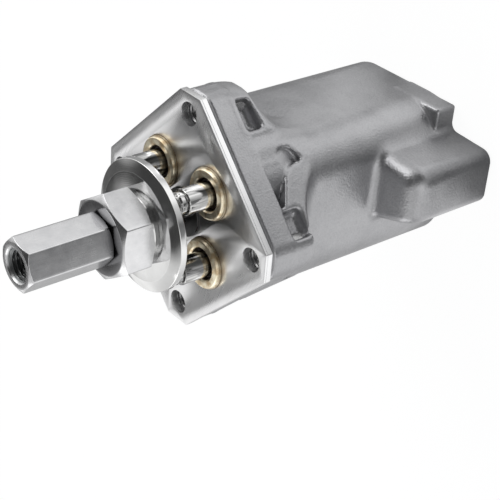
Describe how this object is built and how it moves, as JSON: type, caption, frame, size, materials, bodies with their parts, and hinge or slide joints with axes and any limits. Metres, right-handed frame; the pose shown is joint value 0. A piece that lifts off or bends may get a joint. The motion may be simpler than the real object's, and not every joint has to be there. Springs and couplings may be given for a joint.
{
  "type": "hydraulic pilot control valve",
  "caption": "Joystick-operated hydraulic pilot control valve: swash plate on a universal joint over sprung pushrods, above a cast spool body with threaded ports.",
  "frame": {"origin": "centre of the mounting-hole pattern on the mounting plate's outer face", "axes": "+Z along the control stick, away from the body; +X and +Y through two pushrods, parallel to the mounting plate's sides"},
  "size_m": [0.0858, 0.075, 0.1785],
  "materials": {
    "casting": "matte, fine-grained casting",
    "plate_steel": "satin ground",
    "turned_steel": "turned, bright",
    "rod_chrome": "polished",
    "dark_steel": "oiled steel",
    "turned_brass": "turned brass",
    "spring_steel": "shot-peened wire",
    "nitrile": "matt black rubber",
    "wiper_rubber": "dark brown rubber"
  },
  "bodies": {
    "housing": {"valve_body": "casting", "mounting_plate": "plate_steel", "joint_base": "dark_steel", "bush_1": "turned_brass", "bush_2": "turned_brass", "bush_3": "turned_brass", "bush_4": "turned_brass", "bush_o_ring_1": "nitrile", "bush_o_ring_2": "nitrile", "bush_o_ring_3": "nitrile", "bush_o_ring_4": "nitrile", "rod_wiper_1": "wiper_rubber", "rod_wiper_2": "wiper_rubber", "rod_wiper_3": "wiper_rubber", "rod_wiper_4": "wiper_rubber", "return_spring_1": "spring_steel", "return_spring_2": "spring_steel", "return_spring_3": "spring_steel", "return_spring_4": "spring_steel"},
    "cross": {"joint_block": "dark_steel", "joint_long_pin": "turned_steel", "joint_short_pins": "turned_steel"},
    "stick": {"joint_fork": "dark_steel", "swash_plate": "turned_steel", "lock_nut": "turned_steel", "coupling_nut": "turned_steel"},
    "plunger_1": {"pushrod_1": "rod_chrome", "spring_seat_1": "dark_steel"},
    "spool_set_1": {"spool_1": "turned_steel", "metering_spring_1": "spring_steel"},
    "plunger_2": {"pushrod_2": "rod_chrome", "spring_seat_2": "dark_steel"},
    "spool_set_2": {"spool_2": "turned_steel", "metering_spring_2": "spring_steel"},
    "plunger_3": {"pushrod_3": "rod_chrome", "spring_seat_3": "dark_steel"},
    "spool_set_3": {"spool_3": "turned_steel", "metering_spring_3": "spring_steel"},
    "plunger_4": {"pushrod_4": "rod_chrome", "spring_seat_4": "dark_steel"},
    "spool_set_4": {"spool_4": "turned_steel", "metering_spring_4": "spring_steel"}
  },
  "joints": [
    {"name": "tilt_x", "type": "hinge", "parent": "housing", "child": "cross", "pos_m": [0, 0, 0.0068], "axis": [1, 0, 0], "range_deg": [-19, 19], "stiffness_Nm_per_rad": 4},
    {"name": "tilt_y", "type": "hinge", "parent": "cross", "child": "stick", "pos_m": [0, 0, 0.0068], "axis": [0, 1, 0], "range_deg": [-19, 19], "stiffness_Nm_per_rad": 4},
    {"name": "pushrod_slide_1", "type": "slide", "parent": "housing", "child": "plunger_1", "axis": [0, 0, 1], "range_m": [-0.00685, 0.00685], "deforming": ["return_spring_1", "metering_spring_1"]},
    {"name": "spool_slide_1", "type": "slide", "parent": "housing", "child": "spool_set_1", "axis": [0, 0, 1], "range_m": [-0.00174, 0.00174]},
    {"name": "pushrod_slide_2", "type": "slide", "parent": "housing", "child": "plunger_2", "axis": [0, 0, 1], "range_m": [-0.00685, 0.00685], "deforming": ["return_spring_2", "metering_spring_2"]},
    {"name": "spool_slide_2", "type": "slide", "parent": "housing", "child": "spool_set_2", "axis": [0, 0, 1], "range_m": [-0.00174, 0.00174]},
    {"name": "pushrod_slide_3", "type": "slide", "parent": "housing", "child": "plunger_3", "axis": [0, 0, 1], "range_m": [-0.00685, 0.00685], "deforming": ["return_spring_3", "metering_spring_3"]},
    {"name": "spool_slide_3", "type": "slide", "parent": "housing", "child": "spool_set_3", "axis": [0, 0, 1], "range_m": [-0.00174, 0.00174]},
    {"name": "pushrod_slide_4", "type": "slide", "parent": "housing", "child": "plunger_4", "axis": [0, 0, 1], "range_m": [-0.00685, 0.00685], "deforming": ["return_spring_4", "metering_spring_4"]},
    {"name": "spool_slide_4", "type": "slide", "parent": "housing", "child": "spool_set_4", "axis": [0, 0, 1], "range_m": [-0.00174, 0.00174]}
  ],
  "couplings": [
    {"joint": "pushrod_slide_1", "follows": "tilt_y", "m_per_rad": -0.0205},
    {"joint": "spool_slide_1", "follows": "tilt_y", "m_per_rad": -0.0051},
    {"joint": "pushrod_slide_2", "follows": "tilt_x", "m_per_rad": 0.0205},
    {"joint": "spool_slide_2", "follows": "tilt_x", "m_per_rad": 0.0051},
    {"joint": "pushrod_slide_3", "follows": "tilt_y", "m_per_rad": 0.0205},
    {"joint": "spool_slide_3", "follows": "tilt_y", "m_per_rad": 0.0051},
    {"joint": "pushrod_slide_4", "follows": "tilt_x", "m_per_rad": -0.0205},
    {"joint": "spool_slide_4", "follows": "tilt_x", "m_per_rad": -0.0051}
  ]
}
